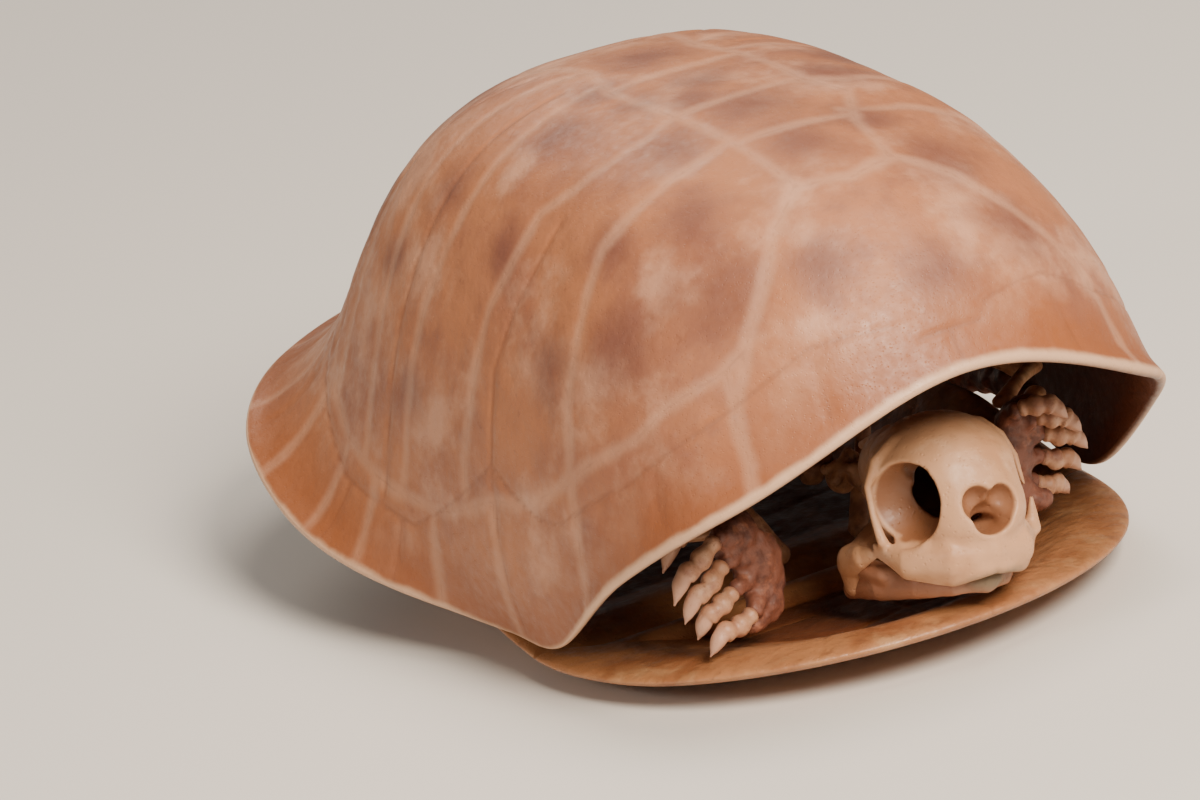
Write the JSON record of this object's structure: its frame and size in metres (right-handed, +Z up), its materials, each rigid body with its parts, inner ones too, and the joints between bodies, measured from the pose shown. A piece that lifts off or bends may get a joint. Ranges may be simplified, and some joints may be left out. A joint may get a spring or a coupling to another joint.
{
  "type": "turtle skeleton",
  "caption": "Dry skeleton of a small box turtle: high domed shell, hinged belly shell, skull resting in the front opening, folded neck, limbs and girdles inside.",
  "frame": {"origin": "under the middle of the skeleton, on the surface that the belly shell rests on", "axes": "-Y towards the head, +X to the animal's left, +Z up; the longest extent is along Y"},
  "size_m": [0.1068, 0.137, 0.0684],
  "materials": {
    "shell_bone": "smooth dry bone, satin, pinkish tan with mauve brown clouds and pale seams",
    "belly_bone": "smooth dry bone, satin, orange tan",
    "head_bone": "clean cream bone, matte, fine pores on the snout",
    "limb_bone": "dry bone with traces of dried tissue, matte",
    "dried_ligament": "dried purple brown ligament over small wrist and ankle bones"
  },
  "bodies": {
    "root": {"carapace": "shell_bone", "plastron_front_lobe": "belly_bone", "plastron_rear_lobe": "belly_bone", "skull": "head_bone", "mandible": "head_bone", "neck_vertebra_1": "limb_bone", "neck_vertebra_2": "limb_bone", "neck_vertebra_3": "limb_bone", "neck_vertebra_4": "limb_bone", "neck_vertebra_5": "limb_bone", "neck_vertebra_6": "limb_bone", "neck_vertebra_7": "limb_bone", "neck_vertebra_8": "limb_bone", "tail_vertebra_1": "limb_bone", "tail_vertebra_2": "limb_bone", "tail_vertebra_3": "limb_bone", "tail_vertebra_4": "limb_bone", "tail_vertebra_5": "limb_bone", "tail_vertebra_6": "limb_bone", "scapula_right": "limb_bone", "coracoid_right": "limb_bone", "humerus_right": "limb_bone", "radius_right": "limb_bone", "ulna_right": "limb_bone", "carpus_right": "dried_ligament", "finger_right_1": "limb_bone", "finger_right_2": "limb_bone", "finger_right_3": "limb_bone", "finger_right_4": "limb_bone", "finger_right_5": "limb_bone", "femur_right": "limb_bone", "tibia_right": "limb_bone", "fibula_right": "limb_bone", "tarsus_right": "dried_ligament", "toe_right_1": "limb_bone", "toe_right_2": "limb_bone", "toe_right_3": "limb_bone", "toe_right_4": "limb_bone", "scapula_left": "limb_bone", "coracoid_left": "limb_bone", "humerus_left": "limb_bone", "radius_left": "limb_bone", "ulna_left": "limb_bone", "carpus_left": "dried_ligament", "finger_left_1": "limb_bone", "finger_left_2": "limb_bone", "finger_left_3": "limb_bone", "finger_left_4": "limb_bone", "finger_left_5": "limb_bone", "femur_left": "limb_bone", "tibia_left": "limb_bone", "fibula_left": "limb_bone", "tarsus_left": "dried_ligament", "toe_left_1": "limb_bone", "toe_left_2": "limb_bone", "toe_left_3": "limb_bone", "toe_left_4": "limb_bone", "pelvis": "limb_bone"}
  },
  "joints": []
}
